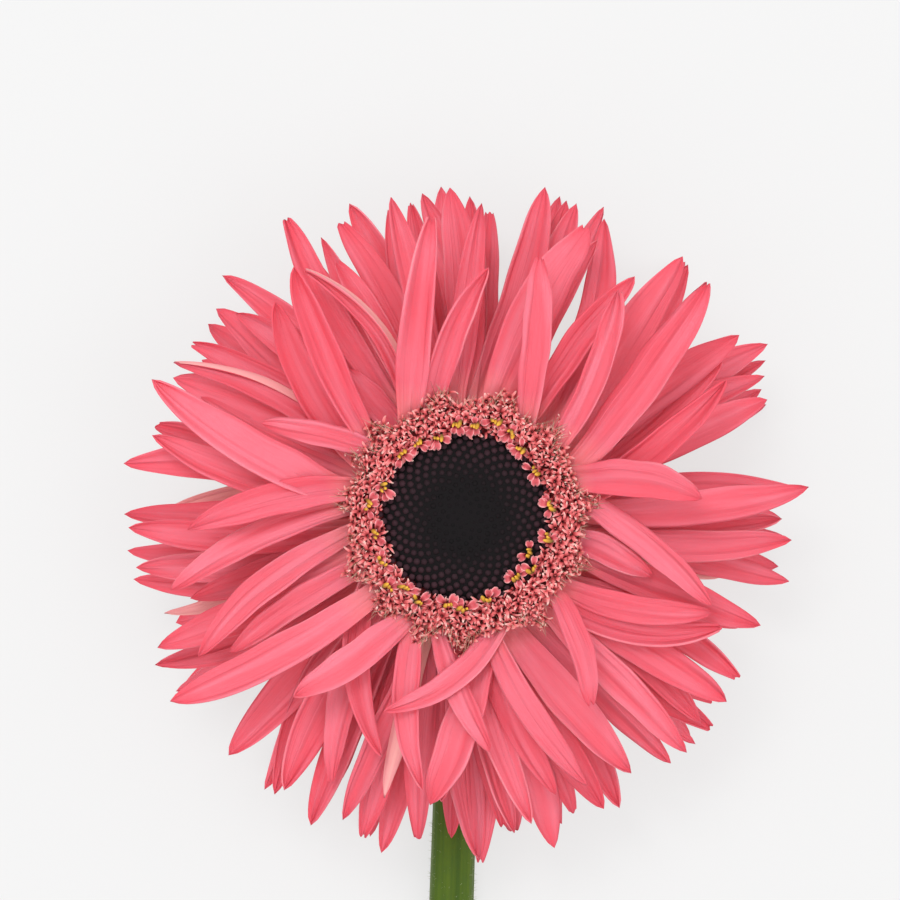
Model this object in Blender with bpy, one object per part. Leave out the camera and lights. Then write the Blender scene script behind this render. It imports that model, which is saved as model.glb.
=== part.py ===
"""A cut gerbera lying on its back: the head faces up and the stem runs along -Y on the surface.

Everything is built round the head's axis, then moved so that the origin is the middle of the
footprint, on the surface that the flower lies on.
"""

import math

import bmesh
import bpy
from mathutils import Vector

MM = 0.001
GAP = 0.3 * MM  # between pieces that touch in the real flower

# Stem: one round, gently bowed stalk whose neck turns up into the head.
STEM_RUN = 365 * MM  # from the head's axis to the cut end
STEM_BOW = 4.5 * MM
STEM_CUT_RADIUS = 4.2 * MM
STEM_NECK_RADIUS = 3.6 * MM
NECK_BEND = 15 * MM
STEM_POINTS = 16
NECK_POINTS = 9

# Receptacle: the fleshy base that every floret stands on.
RECEPTACLE_RADIUS = 15.5 * MM
RECEPTACLE_TOP = 35 * MM
CONE_RISE = 5.8 * MM  # height of the cone between the neck and the flank

# Florets.
ROOT_RADIUS = RECEPTACLE_RADIUS + GAP
ROOT_HEIGHT = 25.5 * MM  # of the lowest whorl
WHORL_PITCH = 1.05 * MM  # between one whorl's roots and the next
REACH = 59 * MM  # the longest blade's tip, from the head's axis
TIP_LOWEST = 0.5 * MM
TIP_PITCH = 5.7 * MM
BOW_LOWEST = -0.7  # the lowest whorls leave level and droop; the upper ones rise and level off
BOW_PITCH = 0.15
BLADE_THICKNESS = 0.7 * MM
BLADE_CUP = 0.45 * MM
BLADE_TILT = 1.2 * MM
CLAW_SHARE = 0.5  # the blade's width at its root, as a share of its widest
TAPER_POWER = 2.2
BLUNTNESS = 0.7
BLADE_STEPS = 7
DISC_RADIUS = 13.2 * MM
DISC_RISE = 3.2 * MM
TRANS_RADIUS = 20.2 * MM
TRANS_RISE = 4.4 * MM
TRANS_COUNT = 26

# Involucre: the cup of green bracts under the head.
BRACT_COUNT = 24
BRACT_REACH = 24 * MM
BRACT_NOTCH = 19 * MM
BRACT_THICKNESS = 0.9 * MM

# Each whorl: its level above the lowest, then root azimuth, tip azimuth (degrees, counter-clockwise
# from +X), reach from the axis, width, and sideways bow of the middle (mm) of each blade.
WHORLS = {
    "lowest_ray": (
        0,
        [
            (20, 21, 54.5, 6.5, 0),
            (50, 48.5, 57, 6.5, 0),
            (74, 73.5, 56.5, 5.5, 0),
            (94, 94.5, 56, 6, 0),
            (122, 122.5, 54, 6, 0),
            (146, 143, 54.5, 6.5, 0),
            (182, 182.5, 53, 6.5, 0),
            (211, 212, 57, 6.5, 0),
            (252, 252.5, 57, 6.5, 0),
            (277, 278, 54.5, 6.5, 0),
            (314, 315, 54, 6.5, 0),
            (350, 351.5, 54, 6.5, 0),
        ],
    ),
    "lower_ray": (
        3,
        [
            (24.5, 29.5, 58, 6.0, 1.5),
            (66.5, 66.5, 56.5, 4.2, 0.5),
            (86.5, 97, 54.5, 5.3, -2),
            (148.5, 141, 54, 7.0, -1),
            (185, 185, 56.5, 5.1, 2.5),
            (212.5, 211, 56.5, 5.3, 1.5),
            (266.5, 272, 57.5, 6.0, -1),
            (293.5, 298, 55, 5.5, 1),
            (359.5, 349, 55, 4.9, -1),
        ],
    ),
    "middle_ray": (
        4.5,
        [
            (30, 48.5, 55.5, 6.3, -1),
            (87, 76, 56, 6.3, -1),
            (107, 113.5, 53, 6.3, -1.5),
            (151.5, 154.5, 53.5, 5.9, -1.5),
            (164.5, 163.5, 53.5, 5.6, 0),
            (177.5, 180, 56.5, 4.9, 0.5),
            (205.5, 205.5, 57, 5.8, 3),
            (218.5, 226, 55.5, 7.1, -0.5),
            (231.5, 244, 57, 5.2, -1),
            (271, 278, 53, 4.7, -0.5),
            (284, 295, 53.5, 5.9, -0.5),
            (298.5, 309.5, 53, 5.2, 0),
            (322, 329.5, 52.5, 5.2, 2),
            (349, 355, 54, 5.2, -0.5),
        ],
    ),
    "upper_ray": (
        6.5,
        [
            (4.5, 28, 48, 4.8, -2),
            (58, 56, 48, 4.5, 0.5),
            (77.5, 68, 51.5, 7.5, 1),
            (125.5, 123.5, 48, 4.1, -5.5),
            (156.5, 131.5, 47, 5.3, 2.5),
            (170.5, 166, 53, 5.3, 1.5),
            (184.5, 206.5, 49.5, 4.9, -2),
            (204.5, 250.5, 41.5, 4.3, -4),
            (286, 263.5, 47.5, 5.1, 0.5),
            (322.5, 339, 43, 4.6, -2),
            (349, 341, 31.5, 4.5, 1),
        ],
    ),
    "front_ray": (
        8,
        [
            (21, 5, 38.5, 6.0, 2),
            (35, 57, 44, 4.4, -2),
            (53.5, 73.5, 44, 4.9, 0),
            (126.5, 96.5, 49, 5.4, 0.5),
            (140.5, 156, 36.5, 3.8, -1),
            (162.5, 183, 45, 5.4, -2),
            (244, 227, 40.5, 5.4, 0.5),
            (298, 247.5, 34.5, 4.1, 3),
            (324, 305, 37, 4.1, 1),
        ],
    ),
}

# Colour, roughness of each material.
FINISHES = {
    "petal": ((0.93, 0.16, 0.22), 0.5),
    "trans_floret": ((0.8, 0.2, 0.24), 0.55),
    "disc": ((0.02, 0.014, 0.018), 0.6),
    "receptacle": ((0.35, 0.45, 0.16), 0.6),
    "bract": ((0.16, 0.25, 0.06), 0.65),
    "stem": ((0.1, 0.18, 0.03), 0.55),
}


def clear_scene():
    for old in list(bpy.data.objects):
        bpy.data.objects.remove(old)


def material(name):
    found = bpy.data.materials.get(name)
    if found:
        return found
    colour, roughness = FINISHES[name]
    made = bpy.data.materials.new(name)
    made.use_nodes = True
    shader = made.node_tree.nodes["Principled BSDF"]
    shader.inputs["Base Color"].default_value = (*colour, 1)
    shader.inputs["Roughness"].default_value = roughness
    shader.inputs["Metallic"].default_value = 0
    return made


def object_from(bm, name, finish, smooth_below=40):
    """The bmesh as a named object, shaded smooth across edges flatter than smooth_below degrees."""
    mesh = bpy.data.meshes.new(name)
    bm.to_mesh(mesh)
    bm.free()
    mesh.shade_smooth()
    mesh.set_sharp_from_angle(angle=math.radians(smooth_below))
    made = bpy.data.objects.new(name, mesh)
    made.data.materials.append(material(finish))
    bpy.context.scene.collection.objects.link(made)
    return made


def polar(azimuth, radius):
    """The point at this azimuth (radians) and distance from the head's axis."""
    return Vector((math.cos(azimuth), math.sin(azimuth))) * radius


# --- rays -----------------------------------------------------------------------------------


def whorl_height(level, radius, reach):
    """How high a whorl's blades lie at this distance from the axis: one surface for each whorl."""
    root = ROOT_HEIGHT + level * WHORL_PITCH
    tip = TIP_LOWEST + level * TIP_PITCH
    bow = BOW_LOWEST + level * BOW_PITCH
    out = (radius - ROOT_RADIUS) / (reach - ROOT_RADIUS)
    return root + (tip - root) * ((1 + bow) * out - bow * out * out)


def width_share(along):
    """A lance-shaped blade: a narrow claw, widest in the middle, and a pointed tip."""
    if along < 0.5:
        share = 2 * along
        return CLAW_SHARE + (1 - CLAW_SHARE) * share * share * (3 - 2 * share)
    return (1 - (2 * along - 1) ** TAPER_POWER) ** BLUNTNESS


def blade_point(ray, level, index, along, across):
    """A point of the blade: along is 0 at the root and 1 at the tip, across is -1 to 1."""
    root_azimuth, tip_azimuth, reach, width, bow = ray
    reach = reach * MM
    first = polar(math.radians(root_azimuth), ROOT_RADIUS)
    last = polar(math.radians(tip_azimuth), reach)
    chord = (last - first).normalized()
    turn = (first + last) / 2 + Vector((-chord.y, chord.x)) * 2 * bow * MM
    middle = (1 - along) ** 2 * first + 2 * along * (1 - along) * turn + along**2 * last
    heading = (2 * (1 - along) * (turn - first) + 2 * along * (last - turn)).normalized()
    side = Vector((heading.y, -heading.x))
    half = width * MM / 2 * width_share(along)
    place = middle + side * half * across
    if place.length < ROOT_RADIUS:
        place = place.normalized() * ROOT_RADIUS
    surface_reach = reach if level == 0 else REACH
    height = whorl_height(level, place.length, surface_reach)
    out = (place.length - ROOT_RADIUS) / (REACH - ROOT_RADIUS)
    if level > 0:
        height += BLADE_TILT * out * math.sin(2.4 * index + level)
    height += BLADE_CUP * across**2 * width_share(along)
    return Vector((place.x, place.y, height))


def ray_floret(name, ray, level, index):
    bm = bmesh.new()
    bmesh.ops.create_grid(bm, x_segments=2, y_segments=BLADE_STEPS, size=1)
    for vert in bm.verts:
        vert.co = blade_point(ray, level, index, (vert.co.y + 1) / 2, vert.co.x)
    bmesh.ops.remove_doubles(bm, verts=bm.verts, dist=0.01 * MM)
    blade = object_from(bm, name, "petal")
    skin = blade.modifiers.new("skin", "SOLIDIFY")
    skin.thickness = BLADE_THICKNESS
    skin.offset = 0
    return blade


def ray_florets():
    for whorl, (level, rays) in WHORLS.items():
        for index, ray in enumerate(rays):
            ray_floret(f"{whorl}_{index + 1:02d}", ray, level, index)


# --- head -----------------------------------------------------------------------------------


def turned(name, finish, profile, steps, lobes=None):
    """A closed profile of (radius, height) points turned round the axis.

    lobes, when given, is a function of azimuth and radius that returns the radius in its place.
    """
    bm = bmesh.new()
    rings = []
    for step in range(steps):
        azimuth = 2 * math.pi * step / steps
        ring = []
        for radius, height in profile:
            out = lobes(azimuth, radius) if lobes else radius
            ring.append(bm.verts.new((*polar(azimuth, out), height)))
        rings.append(ring)
    for step in range(steps):
        here, after = rings[step], rings[(step + 1) % steps]
        for i in range(len(profile)):
            j = (i + 1) % len(profile)
            bm.faces.new((here[i], after[i], after[j], here[j]))
    bmesh.ops.remove_doubles(bm, verts=bm.verts, dist=0.001 * MM)
    bmesh.ops.dissolve_degenerate(bm, edges=bm.edges, dist=0.001 * MM)
    bmesh.ops.recalc_face_normals(bm, faces=bm.faces)
    return object_from(bm, name, finish, smooth_below=50)


def neck_top():
    """Height of the stem's upper end."""
    return STEM_NECK_RADIUS + NECK_BEND


def receptacle():
    foot = neck_top() + GAP
    shoulder = foot + CONE_RISE
    profile = [
        (0, foot),
        (STEM_NECK_RADIUS, foot),
        (RECEPTACLE_RADIUS * 0.6, foot + CONE_RISE * 0.25),
        (RECEPTACLE_RADIUS * 0.88, foot + CONE_RISE * 0.62),
        (RECEPTACLE_RADIUS, shoulder),
        (RECEPTACLE_RADIUS, RECEPTACLE_TOP),
        (0, RECEPTACLE_TOP),
    ]
    turned("receptacle", "receptacle", profile, 48)


def disc_florets():
    foot = RECEPTACLE_TOP + GAP
    profile = [
        (0, foot),
        (DISC_RADIUS, foot),
        (DISC_RADIUS, foot + DISC_RISE * 0.3),
        (DISC_RADIUS * 0.82, foot + DISC_RISE * 0.66),
        (DISC_RADIUS * 0.45, foot + DISC_RISE * 0.93),
        (0, foot + DISC_RISE),
    ]
    turned("disc_florets", "disc", profile, 36)


def trans_florets():
    foot = RECEPTACLE_TOP + GAP
    inner = DISC_RADIUS + GAP
    profile = [
        (inner, foot),
        (RECEPTACLE_RADIUS, foot),
        (TRANS_RADIUS, foot + TRANS_RISE * 0.55),
        (TRANS_RADIUS, foot + TRANS_RISE * 0.75),
        ((TRANS_RADIUS + inner) / 2, foot + TRANS_RISE),
        (inner + 0.6 * MM, foot + TRANS_RISE * 0.8),
    ]

    def frilled(azimuth, radius):
        share = (radius - inner) / (TRANS_RADIUS - inner)
        return radius - 0.5 * MM * share**2 * (1 + math.cos(TRANS_COUNT * azimuth))

    turned("trans_florets", "trans_floret", profile, 2 * TRANS_COUNT, frilled)


def involucre():
    """The bracts of all rows, joined at their bases into one cup with a toothed rim."""
    foot = neck_top()
    lift = GAP + BRACT_THICKNESS / 2
    rim = BRACT_NOTCH
    profile = [
        (STEM_NECK_RADIUS + lift + 0.4 * MM, foot - 0.4 * MM),
        (RECEPTACLE_RADIUS * 0.62, foot + CONE_RISE * 0.25 - lift),
        (RECEPTACLE_RADIUS * 0.93, foot + CONE_RISE * 0.62 - lift),
        (RECEPTACLE_RADIUS + lift + 0.3 * MM, foot + CONE_RISE - lift),
        (rim, foot + CONE_RISE - lift * 0.9),
        (BRACT_REACH, foot + CONE_RISE - lift * 3.2),
    ]
    half = BRACT_THICKNESS / 2
    lower = [(radius, height - half) for radius, height in profile]
    upper = [(radius, height + half) for radius, height in reversed(profile)]

    def toothed(azimuth, radius):
        share = max(0.0, (radius - rim) / (BRACT_REACH - rim))
        notch = 0.5 - 0.5 * math.cos(BRACT_COUNT * azimuth)
        return radius - share * notch * (BRACT_REACH - rim) * 0.8

    turned("involucre", "bract", lower + upper, 2 * BRACT_COUNT, toothed)


# --- stem -----------------------------------------------------------------------------------


def stem_points():
    """The stem's middle line from the cut end to the neck's top, each with its radius."""
    points = []
    for step in range(STEM_POINTS):
        run = STEM_RUN + (NECK_BEND - STEM_RUN) * step / (STEM_POINTS - 1)
        share = (run - NECK_BEND) / (STEM_RUN - NECK_BEND)
        radius = STEM_NECK_RADIUS + (STEM_CUT_RADIUS - STEM_NECK_RADIUS) * share**0.5
        bow = -STEM_BOW * math.sin(math.pi * run / STEM_RUN)
        points.append((Vector((bow, -run, radius)), radius))
    start = points[-1][0]
    for step in range(1, NECK_POINTS + 1):
        turn = math.pi / 2 * step / NECK_POINTS
        along = NECK_BEND * math.sin(turn)
        rise = NECK_BEND * (1 - math.cos(turn))
        drift = start.x * (1 - math.sin(turn))
        points.append((Vector((drift, along - NECK_BEND, start.z + rise)), STEM_NECK_RADIUS))
    return points


def stem():
    points = stem_points()
    line = bpy.data.curves.new("stem", "CURVE")
    line.dimensions = "3D"
    line.bevel_depth = 1
    line.bevel_resolution = 4
    line.use_fill_caps = True
    spline = line.splines.new("POLY")
    spline.points.add(len(points) - 1)
    for point, (place, radius) in zip(spline.points, points):
        point.co = (*place, 1)
        point.radius = radius
    made = bpy.data.objects.new("stem", line)
    made.data.materials.append(material("stem"))
    bpy.context.scene.collection.objects.link(made)
    return made


def stand_on_origin():
    """Moves every piece so that the origin is the middle of the footprint and z is 0 at its foot."""
    bpy.context.view_layer.update()
    graph = bpy.context.evaluated_depsgraph_get()
    points = []
    for piece in bpy.context.scene.objects:
        shape = piece.evaluated_get(graph)
        points += [shape.matrix_world @ vertex.co for vertex in shape.to_mesh().vertices]
        shape.to_mesh_clear()
    low = Vector([min(point[axis] for point in points) for axis in range(3)])
    high = Vector([max(point[axis] for point in points) for axis in range(3)])
    middle = Vector(((low.x + high.x) / 2, (low.y + high.y) / 2, low.z))
    for piece in bpy.context.scene.objects:
        piece.location -= middle


def main():
    clear_scene()
    stem()
    receptacle()
    involucre()
    disc_florets()
    trans_florets()
    ray_florets()
    stand_on_origin()


main()
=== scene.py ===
import math
import random

import bmesh
import bpy
from mathutils import Matrix, Vector, noise


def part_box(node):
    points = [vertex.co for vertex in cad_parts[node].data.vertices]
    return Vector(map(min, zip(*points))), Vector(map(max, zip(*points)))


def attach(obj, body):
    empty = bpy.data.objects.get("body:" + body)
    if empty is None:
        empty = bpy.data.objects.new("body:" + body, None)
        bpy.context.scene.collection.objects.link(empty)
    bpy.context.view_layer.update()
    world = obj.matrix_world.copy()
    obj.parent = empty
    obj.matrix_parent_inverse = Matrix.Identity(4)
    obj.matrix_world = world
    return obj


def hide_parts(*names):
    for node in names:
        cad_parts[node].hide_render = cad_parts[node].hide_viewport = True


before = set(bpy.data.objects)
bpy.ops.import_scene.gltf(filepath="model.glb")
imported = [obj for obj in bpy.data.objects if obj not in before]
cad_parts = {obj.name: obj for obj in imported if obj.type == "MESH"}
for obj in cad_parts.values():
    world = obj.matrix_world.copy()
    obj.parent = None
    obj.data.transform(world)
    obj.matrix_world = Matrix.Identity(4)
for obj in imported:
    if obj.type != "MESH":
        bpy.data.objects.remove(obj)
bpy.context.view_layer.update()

mm = 0.001
headLow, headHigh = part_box("receptacle")
axis = Vector(((headLow.x + headHigh.x) / 2, (headLow.y + headHigh.y) / 2, 0))
headTop = headHigh.z
print("frame loaded")


# node helpers

def node(tree, kind, values=None, **settings):
    made = tree.nodes.new(kind)
    for key, value in settings.items():
        setattr(made, key, value)
    for key, value in (values or {}).items():
        made.inputs[key].default_value = value
    return made


def feed(tree, value, socket):
    # a link where value is another node's output, otherwise a constant
    if hasattr(value, "is_linked"):
        tree.links.new(value, socket)
    elif socket.type == "RGBA":
        socket.default_value = (*value, 1)
    else:
        socket.default_value = value


def colourRamp(tree, source, stops):
    # stops: (place, colour) from low to high
    ramp = node(tree, "ShaderNodeValToRGB")
    bar = ramp.color_ramp
    while len(bar.elements) < len(stops):
        bar.elements.new(0.5)
    for element, (place, colour) in zip(bar.elements, stops):
        element.position = place
        element.color = (*colour, 1)
    feed(tree, source, ramp.inputs["Fac"])
    return ramp.outputs["Color"]


def mixColour(tree, share, first, second):
    mix = node(tree, "ShaderNodeMix", data_type="RGBA")
    for value, place in ((share, 0), (first, 6), (second, 7)):  # the sockets that mix colours
        feed(tree, value, mix.inputs[place])
    return mix.outputs[2]


def mapRange(tree, source, low, high, toLow=0.0, toHigh=1.0):
    ranged = node(tree, "ShaderNodeMapRange", {1: low, 2: high, 3: toLow, 4: toHigh})
    feed(tree, source, ranged.inputs[0])
    return ranged.outputs[0]


def combine(tree, operation, first, second=0.0):
    made = node(tree, "ShaderNodeMath", operation=operation)
    feed(tree, first, made.inputs[0])
    feed(tree, second, made.inputs[1])
    return made.outputs[0]


def newGroup(name, inputs, outputs):
    # a node group whose sockets are all plain numbers
    group = bpy.data.node_groups.new(name, "ShaderNodeTree")
    for label, value in inputs.items():
        socket = group.interface.new_socket(label, in_out="INPUT", socket_type="NodeSocketFloat")
        socket.default_value = value
    for label in outputs:
        group.interface.new_socket(label, in_out="OUTPUT", socket_type="NodeSocketFloat")
    return group, node(group, "NodeGroupInput"), node(group, "NodeGroupOutput")


# groups that several materials use

def makeVeinGroup():
    # fine lines and broad creases that run the length of a blade, from its UV map, and a painted highlight
    # in patches along its edges
    group, given, result = newGroup(
        "lengthwiseVeins",
        {"Lines": 16.0, "Creases": 3.0, "Run": 1.5, "Shift": 0.0},
        ["Lines", "Creases", "RimHighlight", "Along"],
    )
    parts = node(group, "ShaderNodeSeparateXYZ")
    feed(group, node(group, "ShaderNodeUVMap", uv_map="blade").outputs["UV"], parts.inputs[0])
    across = parts.outputs[0]
    along = parts.outputs[1]
    run = combine(group, "MULTIPLY", along, given.outputs["Run"])
    shift = combine(group, "MULTIPLY", given.outputs["Shift"], 41.0)  # sets the blades far apart
    masks = {}
    for label, detail in (("Lines", 3.0), ("Creases", 1.0)):
        place = node(group, "ShaderNodeCombineXYZ")
        feed(group, combine(group, "MULTIPLY", across, given.outputs[label]), place.inputs[0])
        feed(group, run, place.inputs[1])
        feed(group, shift, place.inputs[2])
        cloud = node(group, "ShaderNodeTexNoise", {"Scale": 1.0, "Detail": detail, "Roughness": 0.55})
        feed(group, place.outputs[0], cloud.inputs["Vector"])
        masks[label] = mapRange(group, cloud.outputs["Fac"], 0.3, 0.7)
        feed(group, masks[label], result.inputs[label])
    # painted highlight: a pale rim along the blade's edges, only in patches where the creases' noise is
    # high
    fromMiddle = combine(group, "ABSOLUTE", combine(group, "SUBTRACT", across, 0.5))
    edge = mapRange(group, fromMiddle, 0.46, 0.5)
    highlightPatches = mapRange(group, masks["Creases"], 0.45, 1.0)
    feed(group, combine(group, "MULTIPLY", edge, highlightPatches), result.inputs["RimHighlight"])
    feed(group, along, result.inputs["Along"])
    return group


def makeMottleGroup():
    # soft patches from Object coordinates
    group, given, result = newGroup("softMottle", {"Scale": 200.0, "Detail": 3.0}, ["Mask"])
    cloud = node(group, "ShaderNodeTexNoise")
    feed(group, node(group, "ShaderNodeTexCoord").outputs["Object"], cloud.inputs["Vector"])
    for label in ("Scale", "Detail"):
        feed(group, given.outputs[label], cloud.inputs[label])
    feed(group, mapRange(group, cloud.outputs["Fac"], 0.3, 0.7), result.inputs["Mask"])
    return group


veinGroup = makeVeinGroup()
mottleGroup = makeMottleGroup()


# materials

petalMid = (0.755, 0.14, 0.193)
petalLight = (0.87, 0.196, 0.26)

# One look for each skin. Its drivers are what it reads (an attribute of the mesh, or the height),
# its mottle (scale, detail) and its veins (lines, creases, run along the blade).
# base: driver, then colours from low to high
# shift: how far the mottle moves the place along those colours
# layers: driver, from, to, share there and there, then the colour, or colours for the mottle
# roughness: driver, roughness at 0 and at 1
# bump: strength, distance in metres, and how much of each driver where that isn't the mottle
# shader: what is the same all over
skins = {
    "petalFace": {
        "reads": "tone",
        "veins": (16.0, 2.6, 1.0),
        "mottle": (140.0, 2.0),
        # colours by tone: random, and darker on lower whorls as painted shade
        "base": ("tone", [(0.0, (0.6, 0.096, 0.133)), (0.45, petalMid), (1.0, petalLight)]),
        "layers": [
            # painted shade: a deeper red down in the creases
            ("Creases", 0.25, 0.65, 0.52, 0.0, (0.72, 0.05, 0.08)),
            ("Lines", 0.3, 1.0, 0.0, 0.14, petalLight),
            ("Mottle", 0.0, 1.0, 0.0, 0.25, petalMid),
            # the claw: paler at the base, and lifted further as painted light against the shade round the
            # ring
            ("Along", 0.26, 0.03, 0.0, 0.85, (0.95, 0.27, 0.27)),  # claw
            ("Along", 0.86, 1.0, 0.0, 0.5, (0.8, 0.05, 0.085)),  # tip
            # painted highlight: pale edges where light would catch the rims
            ("RimHighlight", 0.0, 1.0, 0.0, 0.4, (0.95, 0.36, 0.4)),
        ],
        "roughness": ("Lines", 0.48, 0.62),
        "bump": (0.9, 0.0008, {"Lines": 0.12, "Creases": 1.0}),
        "shader": {
            "Subsurface Weight": 0.35,
            "Subsurface Radius": (1.0, 0.2, 0.22),
            "Subsurface Scale": 0.0012,
            "Specular IOR Level": 0.2,
        },
    },
    "petalBack": {
        "reads": "tone",
        "veins": (12.0, 4.0, 1.2),
        # colours by tone: random, and darker on lower whorls as painted shade
        "base": ("tone", [(0.0, (0.78, 0.3, 0.3)), (1.0, (0.86, 0.4, 0.38))]),
        "layers": [
            ("Creases", 0.1, 0.9, 0.0, 0.6, (0.7, 0.2, 0.24)),
            ("Along", 0.3, 0.05, 0.0, 0.6, (0.74, 0.42, 0.3)),
        ],
        "roughness": ("Lines", 0.55, 0.7),
        "bump": (0.5, 0.0003, {"Creases": 1.0}),
        "shader": {
            "Subsurface Weight": 0.1,
            "Subsurface Radius": (1.0, 0.5, 0.4),
            "Subsurface Scale": 0.001,
            "Specular IOR Level": 0.25,
        },
    },
    "smallFloret": {
        "reads": "lobe",
        "mottle": (900.0, 2.0),
        # darkest at the throat: the florets' own maroon there, deepened to near black as painted shade
        # between the florets
        "base": ("lobe", [
            (0.0, (0.07, 0.004, 0.005)), (0.22, (0.4, 0.032, 0.036)),
            (0.45, (0.8, 0.15, 0.155)), (0.72, (0.94, 0.33, 0.32)),
            (0.95, (0.99, 0.72, 0.63)),
        ]),
        "shift": 0.09,
        "roughness": ("lobe", 0.65, 0.4),
        "bump": (0.3, 0.0001),
        "shader": {"Specular IOR Level": 0.35},
    },
    "lipFloret": {
        "reads": "lobe",
        "mottle": (700.0, 3.0),
        "base": ("lobe", [
            (0.0, (0.24, 0.015, 0.02)), (0.3, (0.62, 0.08, 0.1)),
            (0.7, (0.8, 0.2, 0.23)), (1.0, (0.93, 0.42, 0.42)),
        ]),
        "shift": 0.1,
        "roughness": ("lobe", 0.4, 0.55),
        "bump": (0.3, 0.0001),
        "shader": {"Specular IOR Level": 0.4},
    },
    "anther": {
        "reads": "lobe",
        "mottle": (1600.0, 2.0),
        "base": ("lobe", [
            (0.0, (0.07, 0.05, 0.01)), (0.35, (0.27, 0.14, 0.015)),
            (0.6, (0.62, 0.3, 0.016)), (1.0, (0.84, 0.46, 0.035)),
        ]),
        "layers": [("Mottle", 0.3, 0.9, 0.0, 0.4, (0.2, 0.13, 0.02))],
        "roughness": ("Mottle", 0.45, 0.75),
        "bump": (0.6, 0.00012),
    },
    "discBud": {
        "reads": "lobe",
        "mottle": (1100.0, 2.0),
        "base": ("lobe", [
            (0.0, (0.007, 0.0065, 0.007)), (0.4, (0.009, 0.008, 0.0085)),
            (0.65, (0.032, 0.018, 0.022)), (1.0, (0.065, 0.028, 0.037)),
        ]),
        "layers": [("Mottle", 0.3, 1.0, 0.0, 0.2, (0.026, 0.015, 0.019))],
        "roughness": ("Mottle", 0.6, 0.85),
        "bump": (0.4, 0.0001),
        "shader": {"Specular IOR Level": 0.04},
    },
    "discBed": {
        "mottle": (800.0, 4.0),
        "base": ("Mottle", [(0.0, (0.007, 0.006, 0.0065)), (1.0, (0.01, 0.008, 0.009))]),
        "roughness": ("Mottle", 0.7, 0.9),
        "bump": (0.5, 0.0002),
        "shader": {"Specular IOR Level": 0.08},
    },
    # painted shade: a dark maroon bed that fills the gaps between the small florets
    "transBed": {
        "mottle": (800.0, 4.0),
        "base": ("Mottle", [(0.0, (0.07, 0.006, 0.007)), (1.0, (0.18, 0.02, 0.02))]),
        "roughness": ("Mottle", 0.7, 0.9),
        "bump": (0.5, 0.0002),
        "shader": {"Specular IOR Level": 0.08},
    },
    "receptacleSkin": {  # green where the bracts sit, and rose under the small florets
        "reads": "height",
        "mottle": (800.0, 4.0),
        "base": ("Mottle", [(0.0, (0.14, 0.22, 0.05)), (1.0, (0.22, 0.3, 0.09))]),
        "layers": [
            ("height", 25.5 * mm, 27.5 * mm, 0.0, 1.0,
             [(0.0, (0.24, 0.02, 0.025)), (1.0, (0.5, 0.07, 0.08))]),
        ],
        "roughness": ("Mottle", 0.7, 0.9),
        "bump": (0.5, 0.0002),
        "shader": {"Specular IOR Level": 0.1},
    },
    "bractSkin": {
        "reads": "tone",
        "veins": (14.0, 3.0, 1.5),
        "base": ("Creases", [(0.0, (0.1, 0.19, 0.035)), (1.0, (0.2, 0.31, 0.085))]),
        "layers": [
            ("Lines", 0.2, 1.0, 0.0, 0.5, (0.3, 0.4, 0.17)),
            ("Along", 0.72, 1.0, 0.0, 0.75, (0.16, 0.05, 0.045)),
        ],
        "roughness": ("Lines", 0.55, 0.8),
        "bump": (0.5, 0.0002, {"Lines": 1.0}),
        "shader": {"Sheen Weight": 0.2, "Specular IOR Level": 0.3},
    },
    "stemSkin": {
        "veins": (46.0, 12.0, 9.0),
        "mottle": (420.0, 4.0),
        "base": ("Creases", [(0.0, (0.042, 0.088, 0.0035)), (1.0, (0.072, 0.128, 0.007))]),
        "layers": [
            ("Lines", 0.3, 1.0, 0.0, 0.45, (0.11, 0.168, 0.013)),
            ("Mottle", 0.5, 1.0, 0.0, 0.4, (0.05, 0.1, 0.012)),
            ("Along", 0.14, 0.0, 0.0, 0.45, (0.17, 0.1, 0.05)),  # redder and duller above the cut
        ],
        "roughness": ("Lines", 0.45, 0.65),
        "bump": (0.5, 0.0002, {"Lines": 1.0, "Mottle": 1.0}),
        "shader": {"Sheen Weight": 0.03, "Sheen Roughness": 0.4, "Specular IOR Level": 0.2},
    },
    "stemCut": {
        "reads": "lobe",
        "mottle": (1400.0, 3.0),
        "base": ("lobe", [
            (0.0, (0.42, 0.48, 0.22)), (0.55, (0.5, 0.55, 0.28)),
            (0.72, (0.3, 0.38, 0.12)), (0.84, (0.42, 0.48, 0.2)),
            (1.0, (0.14, 0.2, 0.05)),
        ]),
        "shift": 0.05,
        "roughness": ("Mottle", 0.35, 0.6),
        "bump": (0.6, 0.0002),
    },
    "stemHair": {
        "reads": "lobe",
        "base": ("lobe", [(0.0, (0.2, 0.26, 0.09)), (1.0, (0.62, 0.66, 0.46))]),
        "shader": {"Roughness": 0.6, "Specular IOR Level": 0.3},
    },
    "strand": {
        "reads": "lobe",
        "base": ("lobe", [(0.0, (0.22, 0.09, 0.04)), (1.0, (0.9, 0.66, 0.5))]),
        "shader": {"Roughness": 0.6, "Specular IOR Level": 0.3},
    },
}


def skinDrivers(tree, look):
    drivers = {}
    reads = look.get("reads")
    if reads == "height":
        parts = node(tree, "ShaderNodeSeparateXYZ")
        feed(tree, node(tree, "ShaderNodeTexCoord").outputs["Object"], parts.inputs[0])
        drivers["height"] = parts.outputs[2]
    elif reads:
        drivers[reads] = node(tree, "ShaderNodeAttribute", attribute_name=reads).outputs["Fac"]
    if "mottle" in look:
        values = dict(zip(("Scale", "Detail"), look["mottle"]))
        mottle = node(tree, "ShaderNodeGroup", values, node_tree=mottleGroup)
        drivers["Mottle"] = mottle.outputs["Mask"]
    if "veins" in look:
        values = dict(zip(("Lines", "Creases", "Run"), look["veins"]))
        veins = node(tree, "ShaderNodeGroup", values, node_tree=veinGroup)
        drivers.update(veins.outputs.items())
        if reads:
            feed(tree, drivers[reads], veins.inputs["Shift"])
    return drivers


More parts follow.
